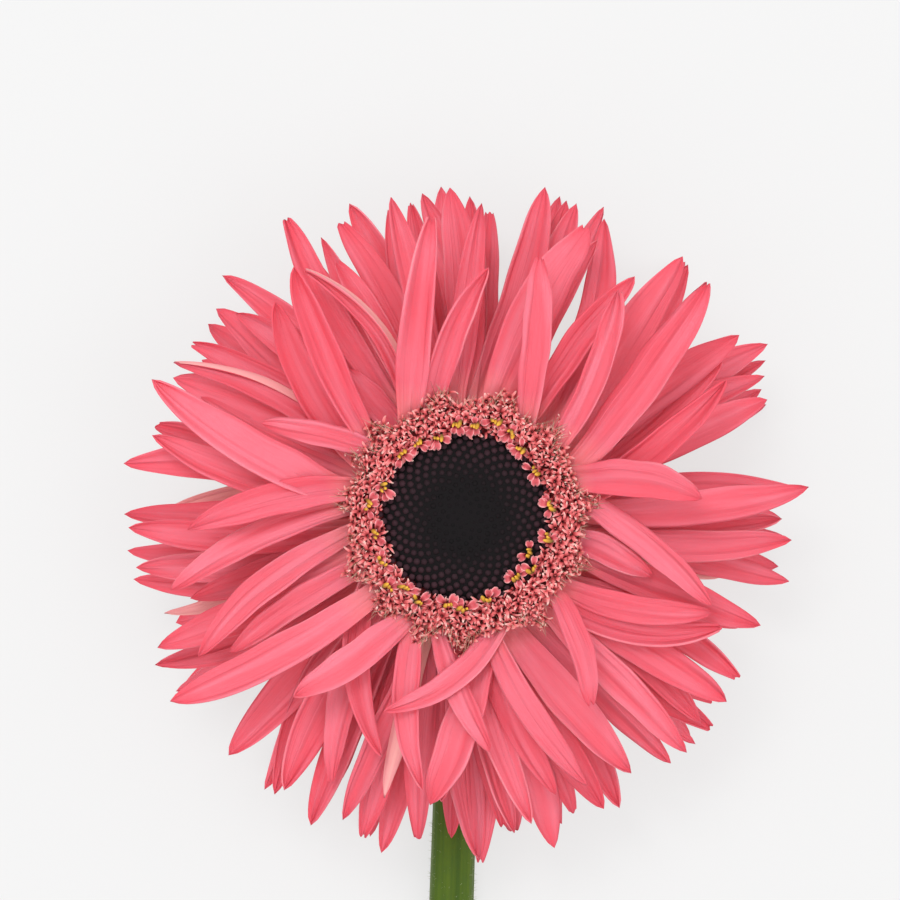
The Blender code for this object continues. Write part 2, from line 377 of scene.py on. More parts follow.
def skinMaterial(name, look):
    made = bpy.data.materials.new(name)
    made.use_nodes = True
    tree = made.node_tree
    shader = tree.nodes["Principled BSDF"]
    for label, value in look.get("shader", {}).items():
        feed(tree, value, shader.inputs[label])
    drivers = skinDrivers(tree, look)
    driver, stops = look["base"]
    if "shift" in look:
        moved = mapRange(tree, drivers["Mottle"], 0.0, 1.0, -look["shift"], look["shift"])
        drivers[driver] = combine(tree, "ADD", drivers[driver], moved)
    colour = colourRamp(tree, drivers[driver], stops)
    for driver, low, high, toLow, toHigh, over in look.get("layers", ()):
        if isinstance(over, list):
            over = colourRamp(tree, drivers["Mottle"], over)
        share = mapRange(tree, drivers[driver], low, high, toLow, toHigh)
        colour = mixColour(tree, share, colour, over)
    feed(tree, colour, shader.inputs["Base Color"])
    if "roughness" in look:
        driver, low, high = look["roughness"]
        feed(tree, mapRange(tree, drivers[driver], 0.0, 1.0, low, high), shader.inputs["Roughness"])
    if "bump" in look:
        strength, distance, *weights = look["bump"]
        bump = node(tree, "ShaderNodeBump", {"Strength": strength, "Distance": distance})
        height = 0.0
        for driver, weight in (weights[0] if weights else {"Mottle": 1.0}).items():
            part = combine(tree, "MULTIPLY", drivers[driver], weight)
            height = combine(tree, "ADD", part, height)
        feed(tree, height, bump.inputs["Height"])
        feed(tree, bump.outputs["Normal"], shader.inputs["Normal"])
    return made


materials = {name: skinMaterial(name, look) for name, look in skins.items()}
print("materials made")


# mesh helpers

def polar(degrees, radius, height=0.0):
    turn = math.radians(degrees)
    return Vector((math.cos(turn) * radius, math.sin(turn) * radius, height))


def smoothShare(share):
    share = min(1.0, max(0.0, share))
    return share * share * (3 - 2 * share)


def leanMatrix(spot, azimuth, lean, spin=0.0, size=1.0):
    # stands a shape at spot, leaning outwards by lean degrees at this azimuth
    return (
        Matrix.Translation(spot)
        @ Matrix.Rotation(math.radians(azimuth), 4, "Z")
        @ Matrix.Rotation(math.radians(lean), 4, "Y")
        @ Matrix.Rotation(math.radians(spin), 4, "Z")
        @ Matrix.Scale(size, 4)
    )


def places(verts):
    # each vertex of a new grid, its place across (-1 to 1) and its place along (0 to 1)
    for vert in verts:
        yield vert, vert.co.x, (vert.co.y + 1) / 2


def newMesh(layer, withUv=False):
    # a bmesh with one number for each vertex, which the skins read
    bm = bmesh.new()
    if withUv:
        bm.loops.layers.uv.new("blade")
    return bm, bm.verts.layers.float.new(layer)


def pieceFrom(bm, name, looks, replaced=(), wall=0.0, backLook=False):
    # the bmesh as a finished piece that rides on the flower; wall is the skin's thickness
    mesh = bpy.data.meshes.new(name)
    bm.to_mesh(mesh)
    bm.free()
    mesh.shade_smooth()
    piece = bpy.data.objects.new(name, mesh)
    bpy.context.scene.collection.objects.link(piece)
    for look in looks:
        mesh.materials.append(materials[look])
    if wall:
        skin = piece.modifiers.new("wall", "SOLIDIFY")
        skin.thickness = wall
        skin.offset = 0
        skin.use_even_offset = False
        if backLook:
            skin.material_offset = 1
    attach(piece, "root")
    if replaced:
        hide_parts(*replaced)


# ray florets

rayForm = {
    "rootRadius": 15.8 * mm,
    "rootHeight": 25.5 * mm,
    "rootPitch": 1.05 * mm,
    "reach": 59 * mm,
    "tipLowest": 0.5 * mm,
    "tipPitch": 5.7 * mm,
    "bowLowest": -0.7,
    "bowPitch": 0.15,
    "across": 18,
    "along": 36,
    "wall": 0.34 * mm,
    "join": 0.004 * mm,  # vertices closer than this become one
    # outline
    "clawShare": 0.6,
    "taper": (2.1, 3.0),
    "blunt": 0.72,
    "widest": (0.36, 0.56),  # where along the blade its widest place may lie
    "flare": 0.08,  # long waves in each edge, then short ones, as shares of the half width
    "nick": 0.05,
    "lean": 0.16,  # how much fuller one side may be than the other
    "hook": 0.9 * mm,  # how far a tip may lean to one side
    "toothedShare": 0.25,  # how many blades end in small teeth
    "toothedFull": (0.93, 0.97),
    "teeth": (0.35, 0.9),
    "tooth": 0.8 * mm,
    "toothShare": (0.4, 1.0),
    "foldAt": 0.5,  # where a folded edge turns over, in half widths, and how far
    "foldTurn": 155,
    # relief
    "pleat": 0.045 * mm,
    "pleats": 3.2,
    "keel": 1.0 * mm,
    "keelShare": (0.3, 1.0),
    "keelAt": 0.35,
    "channel": -1.8,  # a channelled blade's keel is turned down
    "edgeWave": 0.16,
    # bends, as shares of a blade's free play
    "roll": (-1.0, 1.0),
    "twist": (-1.2, 1.2),
    "cup": (-0.6, 1.2),
    "arch": (-0.6, 0.9),
    "curl": (-0.9, 0.8),
    # free play, as a share of the gap to the next whorl
    "sway": 0.3,
    "freeSway": 0.5,  # the same for the topmost whorls
    "freeLevel": 6.5,
    "widestGap": 3.4 * mm,
    "floorGap": 2 * mm,  # for the lowest whorl, which lies on the floor
}

# title, level, the CAD whorl that it replaces and its count, then for each blade:
# root azimuth, tip azimuth, reach, width, sideways bow, and for some a form
whorls = [
    ("ray00_", 0, "lowest_ray", 12, [
        (20, 21, 54.5, 6.5, 0), (50, 48.5, 57, 6.5, 0), (74, 73.5, 56.5, 5.5, 0), (94, 94.5, 56, 6, 0),
        (122, 122.5, 54, 6, 0), (146, 143, 54.5, 6.5, 0), (182, 182.5, 53, 6.5, 0),
        (211, 212, 57, 6.5, 0), (252, 252.5, 57, 6.5, 0), (277, 278, 54.5, 6.5, 0),
        (314, 315, 54, 6.5, 0), (350, 351.5, 54, 6.5, 0),
    ]),
    ("ray10_", 1, None, 0, [
        (40, 40, 51.5, 6, 0), (151, 150, 51.5, 6, 0), (198, 200, 52, 6, 0), (225, 225.5, 54, 6, 0),
        (243, 244, 40, 5.5, 0), (269, 268, 54.5, 6, 0), (288, 287, 54.5, 6, 0), (300, 300, 51, 6, 0),
        (322, 322.5, 52, 6, 0), (337, 338, 50, 6, 0), (0, 0, 53, 6, 0), (257, 262.5, 47.5, 4.6, 0),
    ]),
    ("ray15_", 1.5, None, 0, [
        (10, 23, 54, 5.3, 0), (263, 271, 54, 5.3, 0.5), (86.5, 86.5, 51, 5.3, -0.5),
    ]),
    ("ray20_", 2, None, 0, [
        (354.5, 346, 43.5, 4.2, 0, "pale"), (91.5, 89, 53.5, 4.9, -1),
    ]),
    ("ray25_", 2.5, None, 0, [
        (14, 27, 56.5, 5.0, 1.5), (347.5, 357, 53, 4.9, -0.5), (313.5, 316, 54, 5.0, -1),
        (242, 253, 56, 4.9, 0),
    ]),
    ("ray30_", 3, "lower_ray", 9, [
        (24.5, 29.5, 58, 6.0, 1.5), (66.5, 66.5, 56.5, 4.2, 0.5), (86.5, 97, 54.5, 5.3, -2),
        (148.5, 141, 54, 7.0, -1), (185, 185, 56.5, 5.1, 2.5), (212.5, 211, 56.5, 5.3, 1.5),
        (266.5, 272, 57.5, 6.0, -1), (293.5, 298, 55, 5.5, 1), (359.5, 349, 55, 4.9, -1),
        (11.5, 25.5, 55, 5.3, 2), (267.5, 272.5, 58, 5.8, 1.5), (247, 256, 58, 5.5, 1),
        (191.5, 191, 56.5, 5.6, 3), (140.5, 136, 57, 5.3, -3.5), (105, 100, 53, 4.9, -1),
    ]),
    ("ray35_", 3.5, None, 0, [
        (257.5, 265, 47.5, 6.0, 0.5), (76, 72.5, 55, 5.3, -1), (13, 5.5, 55, 4.9, 0),
        (346.5, 359.5, 52.5, 5.6, 0), (316, 318.5, 54, 5.3, -0.5), (282.5, 289.5, 52.5, 5.3, 0.5),
        (269.5, 276.5, 52, 4.6, 0), (237, 244, 49, 3.3, -1), (218, 233, 56.5, 5.3, -0.5),
        (186.5, 197, 52.5, 3.0, 3, "pale"), (159.5, 179, 50, 3.2, -1.5, "pale"),
        (146, 138.5, 51, 5.2, -3), (107.5, 110, 55.5, 5.5, -1.5),
    ]),
    ("ray40_", 4, None, 0, [
        (72, 70, 55, 5.9, 0), (12, 20.5, 53.5, 5.6, 0.5), (317.5, 319, 52, 5.2, 1.5),
        (280, 285.5, 57, 6.6, 0.5), (246.5, 251.5, 56, 5.8, 0), (221.5, 235.5, 56, 5.6, -2.5),
        (187, 189.5, 55.5, 5.6, 1.5), (149.5, 148.5, 53.5, 4.9, -2.5), (105.5, 105, 52.5, 4.2, 0.5),
    ]),
    ("ray45_", 4.5, "middle_ray", 14, [
        (30, 48.5, 55.5, 6.3, -1), (87, 76, 56, 6.3, -1), (106, 113, 53, 5.2, -1.5),
        (151.5, 154.5, 53.5, 5.9, -1.5), (164.5, 163.5, 53.5, 5.6, 0), (177.5, 180, 56.5, 4.9, 0.5),
        (205.5, 205.5, 57, 5.8, 3), (218.5, 226, 55.5, 7.1, -0.5), (231.5, 244, 57, 5.2, -1),
        (271, 278, 53, 4.7, -0.5), (284, 295, 53.5, 5.9, -0.5), (298.5, 309.5, 53, 5.2, 0),
        (322, 329.5, 52.5, 5.2, 2), (349, 355, 54, 5.2, -0.5), (46, 64.5, 54.5, 5.6, -2.5),
        (14, 32.5, 49, 4.5, -1), (250.5, 261, 54, 5.1, -0.5), (181.5, 196.5, 47.5, 5.2, 1),
        (118.5, 118, 52, 4.2, 0), (92, 92.5, 54.5, 6.5, -1),
    ]),
    ("ray50_", 5, None, 0, [
        (28, 34, 54, 6.3, 0), (253, 248, 54, 4.3, 0), (224, 236.5, 54, 6.9, -1.5),
        (160.5, 156.5, 48, 5.2, 1), (123, 122, 57.5, 4.7, 0.5),
    ]),
    ("ray55_", 5.5, None, 0, [
        (3.5, 5, 56.5, 5.7, -2), (125.5, 129, 31, 4.5, 0.5), (67.5, 65, 50.5, 4.3, 1.5),
        (33.5, 51, 55.5, 6.9, -0.5), (344, 340.5, 51.5, 5.9, -1), (315.5, 325, 52.5, 5.9, 0.5),
        (310.5, 314, 53, 5.2, 0), (288, 303.5, 50, 6.3, -0.5), (272.5, 282, 51.5, 4.9, -1),
        (252, 254.5, 48, 3.0, -1, "pale"), (224.5, 244, 48.5, 4.9, -3), (197.5, 203.5, 55, 6.3, 0.5),
        (186.5, 182.5, 55.5, 5.9, 1), (173.5, 170.5, 57, 6.1, -2.5),
        (153, 151.5, 54.5, 5.6, -3.5, "foldRight"), (117, 117, 47, 4.2, -1.5),
        (106.5, 103, 54, 4.5, -0.5), (97, 86.5, 51.5, 4.7, 0.5),
    ]),
    ("ray60_", 6, None, 0, [
        (275.5, 287, 48, 4.8, -1), (314, 336, 46, 4.3, -3.5),
    ]),
    ("ray65_", 6.5, "upper_ray", 11, [
        (4.5, 28, 48, 4.8, -2), (58, 56, 48, 4.5, 0.5, "channel"), (77.5, 68, 51.5, 7.5, 1),
        (125.5, 123.5, 48, 4.1, -5.5, "foldRight"), (156.5, 131.5, 47, 5.3, 2.5),
        (170.5, 166, 53, 5.3, 1.5), (184.5, 206.5, 49.5, 4.9, -2), (204.5, 250.5, 41.5, 4.3, -4),
        (286, 263.5, 47.5, 6.2, 0.2), (322.5, 339, 43, 4.6, -2), (349, 341, 31.5, 4.5, 1),
        (205, 209.5, 44.5, 4.5, -1),
    ]),
    ("ray75_", 7.5, None, 0, [
        (112, 85.5, 41, 4.3, 1.5), (146.5, 123.5, 49, 4.9, 2, "channel"), (172, 156, 55.5, 6.3, 2),
        (171, 193.5, 49.5, 4.4, -2), (220, 212, 56.5, 5.9, 1.5), (19.5, 45, 54.5, 6.2, -1.5),
        (242.5, 260, 45, 4.4, -2.5), (249.5, 274.5, 38.5, 4.1, -0.5), (280, 295, 47.5, 4.4, -2),
        (19.5, -19.5, 42.5, 4.4, 1.5),
    ]),
    ("ray80_", 8, "front_ray", 9, [
        (21, 5, 38.5, 6.0, 2), (35, 57, 44, 4.4, -2), (53.5, 73.5, 44, 4.9, 0),
        (126.5, 96.5, 49, 5.4, 0.5, "channel"), (140.5, 156, 36.5, 3.8, -1), (162.5, 183, 45, 5.4, -2),
        (244, 227, 40.5, 5.4, 0.5), (298, 247.5, 34.5, 4.1, 3), (324, 305, 37, 4.1, 1),
    ]),
]


def whorlHeight(level, radius, reach):
    # every blade of a whorl lies along one surface round the axis, so whorls never meet
    root = rayForm["rootHeight"] + level * rayForm["rootPitch"]
    tip = rayForm["tipLowest"] + level * rayForm["tipPitch"]
    bow = rayForm["bowLowest"] + level * rayForm["bowPitch"]
    out = (radius - rayForm["rootRadius"]) / (reach - rayForm["rootRadius"])
    return root + (tip - root) * ((1 + bow) * out - bow * out * out)


def bladeShare(along, widest, taper, full):
    # half width of a blade as a share of its widest; full under 1 leaves the tip with some width
    if along < widest:
        return rayForm["clawShare"] + (1 - rayForm["clawShare"]) * smoothShare(along / widest)
    beyond = (along - widest) / (1 - widest)
    return max(0.0, 1 - (beyond * full) ** taper) ** rayForm["blunt"]


def foldAcross(across, form, along):
    # turns one edge of the blade over; gives the new place across and the rise, in half widths
    side = 1 if form == "foldRight" else -1
    beyond = across * side - rayForm["foldAt"]
    if beyond <= 0:
        return across, 0.0
    turn = math.radians(rayForm["foldTurn"]) * smoothShare((along - 0.05) / 0.3)
    return side * (rayForm["foldAt"] + beyond * math.cos(turn)), beyond * math.sin(turn)


def evenly(rng, spread):
    return rng.uniform(-spread, spread)


def rayFloret(name, level, ray, rng, replaced):
    rootAzimuth, tipAzimuth, reach, width, bow, *rest = ray
    form = rest[0] if rest else "flat"
    reach = reach * mm
    root = rayForm["rootRadius"]
    first = polar(rootAzimuth, root)
    last = polar(tipAzimuth, reach)
    chord = (last - first).normalized()
    turn = (first + last) / 2 + Vector((-chord.y, chord.x, 0)) * (2 * bow * mm)
    surfaceReach = reach if level == 0 else rayForm["reach"]
    bends = ("roll", "twist", "cup", "arch", "curl")
    roll, twist, cup, arch, curl = [rng.uniform(*rayForm[part]) for part in bends]
    wave = rng.uniform(0, 6)
    keelAt = evenly(rng, rayForm["keelAt"])
    keel = rng.choice((-1, 1)) * rng.uniform(*rayForm["keelShare"])
    pleatShift = rng.uniform(0, 6)
    # a random tone, plus painted shade: the lower the whorl, the darker its colours
    tone = min(1.0, rng.random() * 0.65 + 0.05 * level)
    flare = [evenly(rng, rayForm["flare"]) for _ in range(2)]
    nick = [evenly(rng, rayForm["nick"]) for _ in range(2)]
    lean = evenly(rng, rayForm["lean"])
    hook = rng.uniform(-1, 1) * rayForm["hook"]
    toothed = rng.random() < rayForm["toothedShare"]
    full = rng.uniform(*rayForm["toothedFull"]) if toothed else 1.0
    teeth = rng.uniform(*rayForm["teeth"])
    teethShift = evenly(rng, 0.6)
    tooth = rng.uniform(*rayForm["toothShare"]) * rayForm["tooth"]
    widest = rng.uniform(*rayForm["widest"])
    taper = rng.uniform(*rayForm["taper"])
    if form == "channel":
        cup = 0.6
        keelAt = evenly(rng, 0.1)
        keel = rayForm["channel"]
    sway = rayForm["freeSway"] if level >= rayForm["freeLevel"] else rayForm["sway"]
    bm, toneLayer = newMesh("tone", withUv=True)
    bmesh.ops.create_grid(
        bm, x_segments=rayForm["across"], y_segments=rayForm["along"], size=1, calc_uvs=True
    )
    for vert, across, along in places(bm.verts):
        share = bladeShare(along, widest, taper, full)
        # the middle line is one curve from the root to the tip
        middle = (1 - along) ** 2 * first + 2 * along * (1 - along) * turn + along**2 * last
        heading = (2 * (1 - along) * (turn - first) + 2 * along * (last - turn)).normalized()
        side = Vector((heading.y, -heading.x, 0))
        half = width * mm / 2 * share
        edge = 1 + flare[0 if across < 0 else 1] * math.sin(math.pi * along * 2 + wave)
        edge += nick[0 if across < 0 else 1] * math.sin(math.pi * along * 7 + wave * 2)
        edge += (lean if across < 0 else -lean) * math.sin(math.pi * along)
        place, rise = across, 0.0
        if form.startswith("fold"):
            place, rise = foldAcross(across, form, along)
        spot = middle + side * (half * place * edge + hook * smoothShare((along - 0.5) / 0.5) ** 2)
        if toothed:
            notch = 0.5 - 0.5 * math.cos(2 * math.pi * (across * teeth + teethShift))
            spot -= heading * (notch * tooth * smoothShare((along - 0.84) / 0.16))
        # the height: the whorl's surface, the bends within the free play, and the relief
        radius = spot.length
        out = max(0.0, (radius - root) / (rayForm["reach"] - root))
        gap = rayForm["rootPitch"] + (rayForm["tipPitch"] - rayForm["rootPitch"]) * out
        if level == 0:
            gap = min(gap, rayForm["floorGap"]) * (1 - smoothShare((along - 0.6) / 0.4))
        free = sway * min(gap, rayForm["widestGap"])
        bend = 0.5 * arch * math.sin(math.pi * along)
        bend += 0.8 * curl * smoothShare((along - 0.65) / 0.35)
        bend += (roll + twist * (along - 0.5)) * across * share
        bend += cup * (across * across - 0.35) * share
        bend += rayForm["edgeWave"] * math.sin(along * 12 + wave) * abs(across) ** 3
        crease = math.sqrt((across - keelAt * (1 - along)) ** 2 + 0.05)
        crease = keel * (0.55 - crease) * share * smoothShare(along / 0.2)
        height = whorlHeight(level, radius, surfaceReach) + free * bend + half * rise
        height += min(rayForm["keel"], 0.32 * gap) * crease
        pleat = math.cos(across * math.pi * rayForm["pleats"] + pleatShift)
        height += rayForm["pleat"] * pleat * share
        vert.co = spot + Vector((0, 0, height)) + axis
        vert[toneLayer] = tone
    bmesh.ops.remove_doubles(bm, verts=bm.verts, dist=rayForm["join"])
    bmesh.ops.recalc_face_normals(bm, faces=bm.faces)
    if sum(face.normal.z for face in bm.faces) < 0:
        bmesh.ops.reverse_faces(bm, faces=bm.faces)
    looks = ["petalFace", "petalBack"]
    if form == "pale":
        looks.reverse()
    pieceFrom(bm, name, looks, replaced, rayForm["wall"], True)


def makeRays():
    count = 0
    for title, level, cadWhorl, cadCount, rays in whorls:
        for index, ray in enumerate(rays):
            replaced = (f"{cadWhorl}_{index + 1:02d}",) if index < cadCount else ()
            rng = random.Random(int(1000 * level) + index)
            rayFloret(f"{title}{index + 1:02d}", level, ray, rng, replaced)
            count += 1
    print("ray florets:", count)


makeRays()


# small florets round the dark middle

ringForm = {
    "spacing": 0.6 * mm,  # florets sit on a spiral, spacing * sqrt(number) from the axis
    "inner": 14.0 * mm,
    "outer": 19.3 * mm,
    "clump": 3.4 * mm,  # how much further the florets reach between two blades
    "clumpSpread": 7.5,
    "clumps": (6, 45, 72, 102, 136, 150, 171, 205, 227, 249, 268, 306, 338),
    "top": 38.2 * mm,
    "crown": 1.2 * mm,
    "drop": 0.8 * mm,
    "sunk": 1.1 * mm,  # how far a throat lies under its lobes
    "lean": (-8, 42),  # at the inner edge, and how much more at the outer
    "leanSpread": 26,
    "size": (0.75, 1.15),
    # the lower florets, which hide the head's green edge
    "skirt": 210,
    "skirtRadius": (16.1, 1.3),  # lowest, and how much more at the top, mm
    "skirtHeight": (33.6, 3.2),
    "skirtLean": (60, 95),
    # one floret
    "lobes": 5,
    "missing": 0.12,  # how many lobes are left out
    "lobeLength": 1.55 * mm,
    "lobeWidth": 0.6 * mm,
    "throat": 0.12 * mm,
    "opening": (15, 50),
    "curl": (60, 190),
    "wall": 0.09 * mm,
}
goldenTurn = 137.50776


def addFloret(bm, layer, place, rng):
    # a small star of narrow lobes that rise from one throat and curl back
    first = rng.uniform(0, 72)
    fresh = []
    for lobe in range(ringForm["lobes"]):
        if rng.random() < ringForm["missing"]:
            continue
        grid = bmesh.ops.create_grid(bm, x_segments=2, y_segments=4, size=1)["verts"]
        length = ringForm["lobeLength"] * rng.uniform(0.6, 1.25)
        width = ringForm["lobeWidth"] * rng.uniform(0.7, 1.2)
        opening = math.radians(rng.uniform(*ringForm["opening"]))
        curl = math.radians(rng.uniform(*ringForm["curl"]))
        swing = evenly(rng, 0.35)
        turn = math.radians(first + lobe * 360 / ringForm["lobes"] + evenly(rng, 14))
        heading = Vector((math.cos(turn), math.sin(turn), 0))
        side = Vector((-heading.y, heading.x, 0))
        for vert, across, along in places(grid):
            bend = opening + curl * along
            # the sum of a curling strap's short runs, so far
            out = (math.cos(opening) - math.cos(bend)) / curl * length
            up = (math.sin(bend) - math.sin(opening)) / curl * length
            half = width / 2 * (0.75 + 0.5 * along - 1.0 * along * along)
            lift = ringForm["throat"] * across * across
            aside = half * across + swing * length * along * along
            spot = heading * (ringForm["throat"] + out) + side * aside
            vert.co = spot + Vector((0, 0, up + lift))
            vert[layer] = along * (0.85 + 0.15 * abs(across))
        fresh += grid
    bmesh.ops.transform(bm, matrix=place, verts=fresh)


def ringEdge(azimuth):
    # the florets' outer edge at this azimuth: it runs out in points between the blades
    share = 0.0
    for clump in ringForm["clumps"]:
        away = abs((azimuth - clump + 180) % 360 - 180) / ringForm["clumpSpread"]
        share = max(share, 1 - away)
    return ringForm["outer"] + ringForm["clump"] * share


def makeRing():
    rng = random.Random(7)
    bm, layer = newMesh("lobe")
    first = int((ringForm["inner"] / ringForm["spacing"]) ** 2)
    last = int(((ringForm["outer"] + ringForm["clump"]) / ringForm["spacing"]) ** 2)
    count = 0
    for number in range(first, last):
        radius = ringForm["spacing"] * math.sqrt(number) + evenly(rng, 0.3) * mm
        azimuth = (number * goldenTurn + rng.uniform(-1, 1)) % 360
        if radius > ringEdge(azimuth) - rng.uniform(0, 0.5) * mm:
            continue
        share = max(0.0, (radius - ringForm["inner"]) / (ringForm["outer"] - ringForm["inner"]))
        height = ringForm["top"] + ringForm["crown"] * math.sin(math.pi * min(1.0, share**0.8))
        height -= ringForm["drop"] * share**2 + rng.uniform(-0.5, 0.6) * mm
        upright, outer = ringForm["lean"]
        spot = axis + polar(azimuth, radius, height - ringForm["sunk"])
        lean = upright + outer * share**1.5 + evenly(rng, ringForm["leanSpread"])
        place = leanMatrix(spot, azimuth, lean, size=rng.uniform(*ringForm["size"]))
        addFloret(bm, layer, place, rng)
        count += 1
    (nearest, wider), (lowest, taller) = ringForm["skirtRadius"], ringForm["skirtHeight"]
    for number in range(ringForm["skirt"]):
        azimuth = 360 * number / ringForm["skirt"] + rng.uniform(-1, 1)
        low = rng.random()
        radius = (nearest + wider * (1 - low)) * mm
        spot = axis + polar(azimuth, radius, (lowest + taller * (1 - low)) * mm)
        addFloret(bm, layer, leanMatrix(spot, azimuth, rng.uniform(*ringForm["skirtLean"])), rng)
    bmesh.ops.recalc_face_normals(bm, faces=bm.faces)
    pieceFrom(bm, "transFlorets", ["smallFloret"], ("trans_florets",), ringForm["wall"])
    print("small florets:", count)


strandForm = {
    "count": 520,
    "length": (1.6, 3.0),  # mm
    "radius": 0.07 * mm,
    "tip": 0.02 * mm,
    "inward": 2.4,  # how far inside the ring's edge a strand may stand, mm
    "below": (0.4, 1.6),  # under the ring's top, mm
    "lean": (45, 85),
    "spread": 35,
}


def makeStrands():
    # fine bristles that show between the florets and the feet of the blades
    rng = random.Random(19)
    bm, layer = newMesh("lobe")
    for _ in range(strandForm["count"]):
        azimuth = rng.uniform(0, 360)
        length = rng.uniform(*strandForm["length"]) * mm
        radius = ringEdge(azimuth) - rng.uniform(0.0, strandForm["inward"]) * mm
        strand = bmesh.ops.create_cone(
            bm,
            cap_ends=True,
            segments=3,
            radius1=strandForm["radius"],
            radius2=strandForm["tip"],
            depth=length,
        )["verts"]
        shade = rng.random()
        for vert in strand:
            vert[layer] = shade
        height = ringForm["top"] - rng.uniform(*strandForm["below"]) * mm
        heading = azimuth + evenly(rng, strandForm["spread"])
        lean = rng.uniform(*strandForm["lean"])
        place = leanMatrix(axis + polar(azimuth, radius, height), heading, lean)
        bmesh.ops.transform(bm, matrix=place, verts=strand)
    pieceFrom(bm, "floretStrands", ["strand"])


bedForm = {
    "foot": 0.3 * mm,  # above the head's top
    "steps": 96,
    "join": 0.005 * mm,
    # radius, and height above the foot, mm
    "trans": [(13.6, 0), (15.5, 0), (18.4, 0.4), (18.1, 0.9), (16.6, 1.6), (14.6, 1.6), (13.6, 1.0)],
}


def turnedBed(name, profile, replaced=()):
    # a profile of (radius, height) turned round the axis
    bm = bmesh.new()
    verts = [bm.verts.new(Vector((radius, 0, height))) for radius, height in profile]
    edges = [bm.edges.new(pair) for pair in zip(verts, verts[1:] + verts[:1])]
    bmesh.ops.spin(
        bm,
        geom=verts + edges,
        axis=(0, 0, 1),
        cent=(0, 0, 0),
        steps=bedForm["steps"],
        angle=math.radians(360),
        use_merge=True,
    )
    bmesh.ops.remove_doubles(bm, verts=bm.verts, dist=bedForm["join"])
    bmesh.ops.translate(bm, verts=bm.verts, vec=axis)
    bmesh.ops.recalc_face_normals(bm, faces=bm.faces)
    pieceFrom(bm, name, [name], replaced)


# the dark bed under the small florets, painted shade in their gaps
def makeTransBed():
    foot = headTop + bedForm["foot"]
    profile = [(radius * mm, foot + height * mm) for radius, height in bedForm["trans"]]
    turnedBed("transBed", profile)


# inner row: lipped florets with their anthers

lipForm = {
    "length": 1.6 * mm,
    "width": 1.35 * mm,
    "wall": 0.12 * mm,
    "top": 39.2 * mm,
    "cup": (0.1, 0.5),  # mm
    "rise": (0.2, 0.8),
    "droop": 0.4 * mm,
    "tilt": 0.35,
    "notch": (0.1, 0.3),
    "swings": [-62, -22, 18, 58],  # how far off the axis a floret's lobes may point
    "outwardShare": 0.5,  # how many florets have one more lobe that points outwards
}
antherForm = {
    "length": 1.7 * mm,
    "radius": 0.3 * mm,
    "sizes": (1.0, 0.75, 0.6),
    "ridge": 0.12,
    "lean": (-75, -20),
    "spread": 60,
    "above": (0.5, 0.9),  # mm
}

# azimuth and distance from the axis of each anther, mm
antherSpots = [
    (8, 14.0), (34, 13.5), (52, 14.3), (62, 15.5), (73, 16.5), (85, 15.0), (96, 15.3), (110, 13.8),
    (123, 14.3), (135.5, 14.7), (160, 14.2), (173, 16.2), (190, 15.0), (208, 15.5), (222, 17.0),
    (229, 15.3), (240, 15.7), (258.5, 14.7), (268, 15.0), (284.5, 13.8), (310, 12.7), (322, 13.7),
    (331, 11.8), (346, 13.7),
]


def innerDrop(radius):
    # the florets that stand nearest the middle stand a little lower
    return max(0.0, 15 - radius) * 0.3 * mm


def addLip(bm, layer, azimuth, radius, swing, size, height, rng):
    # a rounded, notched and cupped lobe that leans in over the dark middle
    grid = bmesh.ops.create_grid(bm, x_segments=6, y_segments=6, size=1)["verts"]
    root = polar(azimuth, radius)
    inward = -polar(azimuth + swing, 1.0)
    side = Vector((inward.y, -inward.x, 0))
    length = lipForm["length"] * size * rng.uniform(0.85, 1.15)
    width = lipForm["width"] * size * rng.uniform(0.8, 1.15)
    cup = rng.uniform(*lipForm["cup"]) * mm
    rise = rng.uniform(*lipForm["rise"]) * mm
    tilt = evenly(rng, lipForm["tilt"])
    notch = rng.uniform(*lipForm["notch"])
    for vert, across, along in places(grid):
        share = 0.42 + 0.58 * smoothShare(along / 0.5)
        if along > 0.5:
            share = math.sqrt(max(0.0, 1 - 0.8 * (2 * along - 1) ** 4))
        pull = notch * (1 - min(1.0, abs(across) * 2)) * smoothShare((along - 0.6) / 0.4)
        spot = root + inward * (length * (along - pull)) + side * (width / 2 * share * across)
        lift = rise * math.sin(math.pi * min(1.0, along * 1.1)) + cup * across * across * along
        lift += tilt * width / 2 * across - lipForm["droop"] * along**2
        vert.co = axis + spot + Vector((0, 0, height + lift))
        vert[layer] = min(1.0, max(abs(across) ** 4, along**6) * 0.8 + 0.4 * along)


def makeLips():
    rng = random.Random(11)
    bm, layer = newMesh("lobe")
    for azimuth, radius in antherSpots:
        height = lipForm["top"] - innerDrop(radius)
        for swing in rng.sample(lipForm["swings"], rng.choice((2, 3))):
            size = rng.uniform(0.8, 1.1)
            lobeHeight = height + rng.uniform(-0.4, 0.2) * mm
            root = (radius - 0.3) * mm
            addLip(bm, layer, azimuth - swing * 0.05, root, swing, size, lobeHeight, rng)
        if rng.random() < lipForm["outwardShare"]:
            swing = 180 + evenly(rng, 50)
            addLip(bm, layer, azimuth, (radius + 0.4) * mm, swing, 0.8, height, rng)
    bmesh.ops.recalc_face_normals(bm, faces=bm.faces)
    pieceFrom(bm, "lipFlorets", ["lipFloret"], (), lipForm["wall"])
    print("lipped florets:", len(antherSpots))


